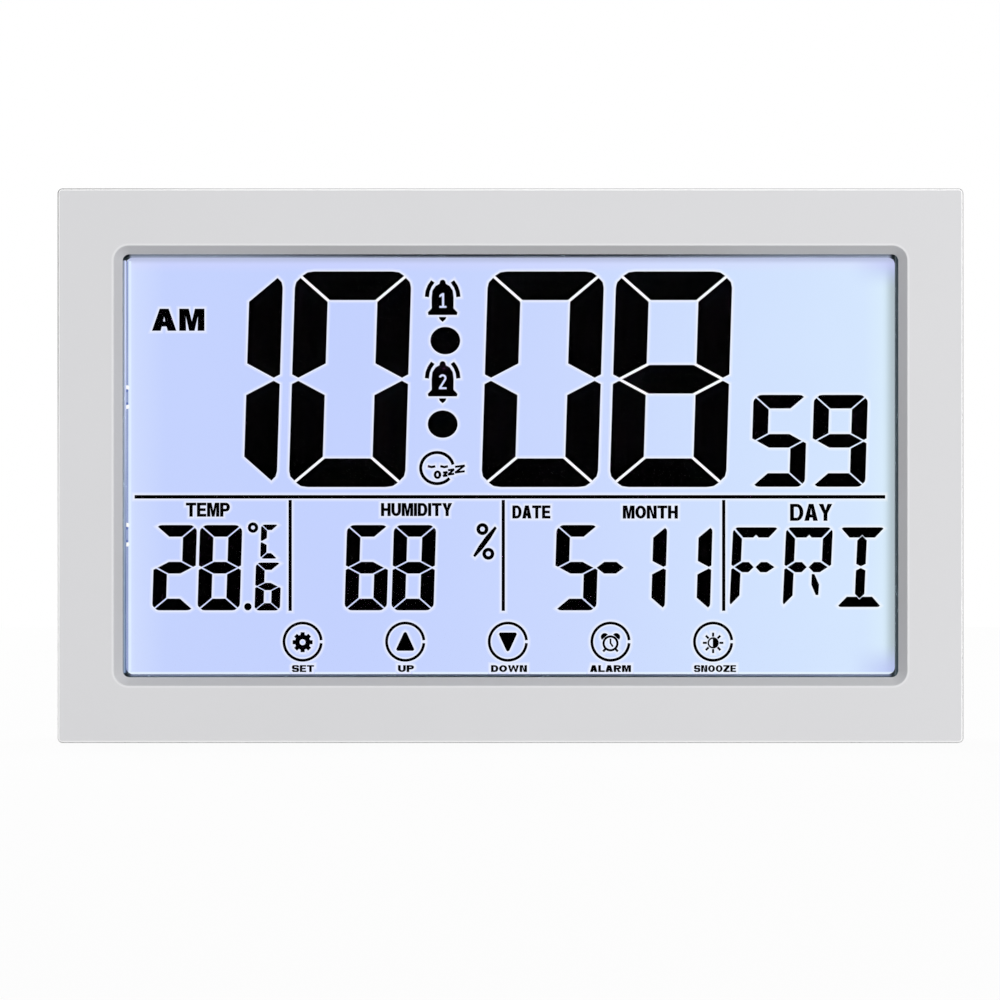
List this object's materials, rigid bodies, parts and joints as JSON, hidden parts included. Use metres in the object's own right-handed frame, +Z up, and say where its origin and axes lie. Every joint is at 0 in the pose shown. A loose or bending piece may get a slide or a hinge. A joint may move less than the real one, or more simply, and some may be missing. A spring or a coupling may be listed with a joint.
{
  "type": "digital clock",
  "caption": "Flat rectangular desk clock with a large backlit number display behind a sloping rim, touch keys, a folding rear stand, a battery door and a keyhole for hanging.",
  "frame": {"origin": "middle of the flat underside, halfway between the face and the back", "axes": "+X to the viewer's right, +Y from the face to the back, +Z up; the face looks along -Y"},
  "size_m": [0.165, 0.026, 0.101],
  "materials": {
    "case_plastic": "smooth matte light grey moulding",
    "clear_lens": "clear hard plastic",
    "clear_film": "clear film",
    "black_foam": "fine closed-cell foam",
    "polarizer": "grey film",
    "display_glass": "clear glass",
    "dark_bars": "black display bars",
    "resin": "cured resin",
    "light_guide": "clear acrylic with fine dots",
    "white_plastic": "white",
    "board": "green solder mask",
    "lamps": "white lamps with pale resin",
    "screw_steel": "zinc plated",
    "strip_rubber": "layered conductive rubber",
    "black_resin": "cured black resin",
    "nickel_can": "plated can",
    "capacitor_ceramic": "tan ceramic",
    "socket_plastic": "cream nylon",
    "sensor_plate": "white ceramic plate",
    "disc_brass": "rolled brass",
    "element_ceramic": "silvered ceramic",
    "contact_steel": "nickel plated",
    "cell_jacket": "plain dark jacket",
    "red_wire": "soft insulation",
    "black_wire": "soft insulation",
    "pin_steel": "drawn steel",
    "stand_plastic": "smooth matte light grey moulding",
    "door_plastic": "smooth matte light grey moulding"
  },
  "bodies": {
    "case": {"front_bezel": "case_plastic", "window_lens": "clear_lens", "touch_film": "clear_film", "light_seal": "black_foam", "lcd_front_polarizer": "polarizer", "lcd_front_glass": "display_glass", "lcd_digits": "dark_bars", "lcd_edge_bead": "resin", "lcd_rear_glass": "display_glass", "lcd_rear_polarizer": "polarizer", "light_guide": "light_guide", "reflector_sheet": "white_plastic", "led_board": "board", "backlight_leds": "lamps", "lcd_holder": "white_plastic", "holder_screws": "screw_steel", "elastomer_strip": "strip_rubber", "main_board": "board", "board_screws": "screw_steel", "clock_chip": "black_resin", "timing_crystal": "nickel_can", "board_capacitors": "capacitor_ceramic", "touch_socket": "socket_plastic", "humidity_sensor": "sensor_plate", "temperature_bead": "black_resin", "rear_case": "case_plastic", "case_screws": "screw_steel", "sounder_disc": "disc_brass", "sounder_element": "element_ceramic", "contact_positive": "contact_steel", "contact_link_bottom": "contact_steel", "contact_link_top": "contact_steel", "contact_negative": "contact_steel", "battery_1": "cell_jacket", "battery_2": "cell_jacket", "battery_3": "cell_jacket", "battery_lead_red": "red_wire", "battery_lead_black": "black_wire", "sounder_leads": "black_wire", "stand_pin": "pin_steel"},
    "stand": {"stand": "stand_plastic"},
    "battery_door": {"battery_door": "door_plastic"}
  },
  "joints": [
    {"name": "stand_hinge", "type": "hinge", "parent": "case", "child": "stand", "pos_m": [0, 0.0107, 0.058], "axis": [1, 0, 0], "range_deg": [0, 30]},
    {"name": "battery_door_hinge", "type": "hinge", "parent": "case", "child": "battery_door", "pos_m": [0.0399, 0.01205, 0.01345], "axis": [-1, 0, 0], "range_deg": [0, 100]}
  ]
}
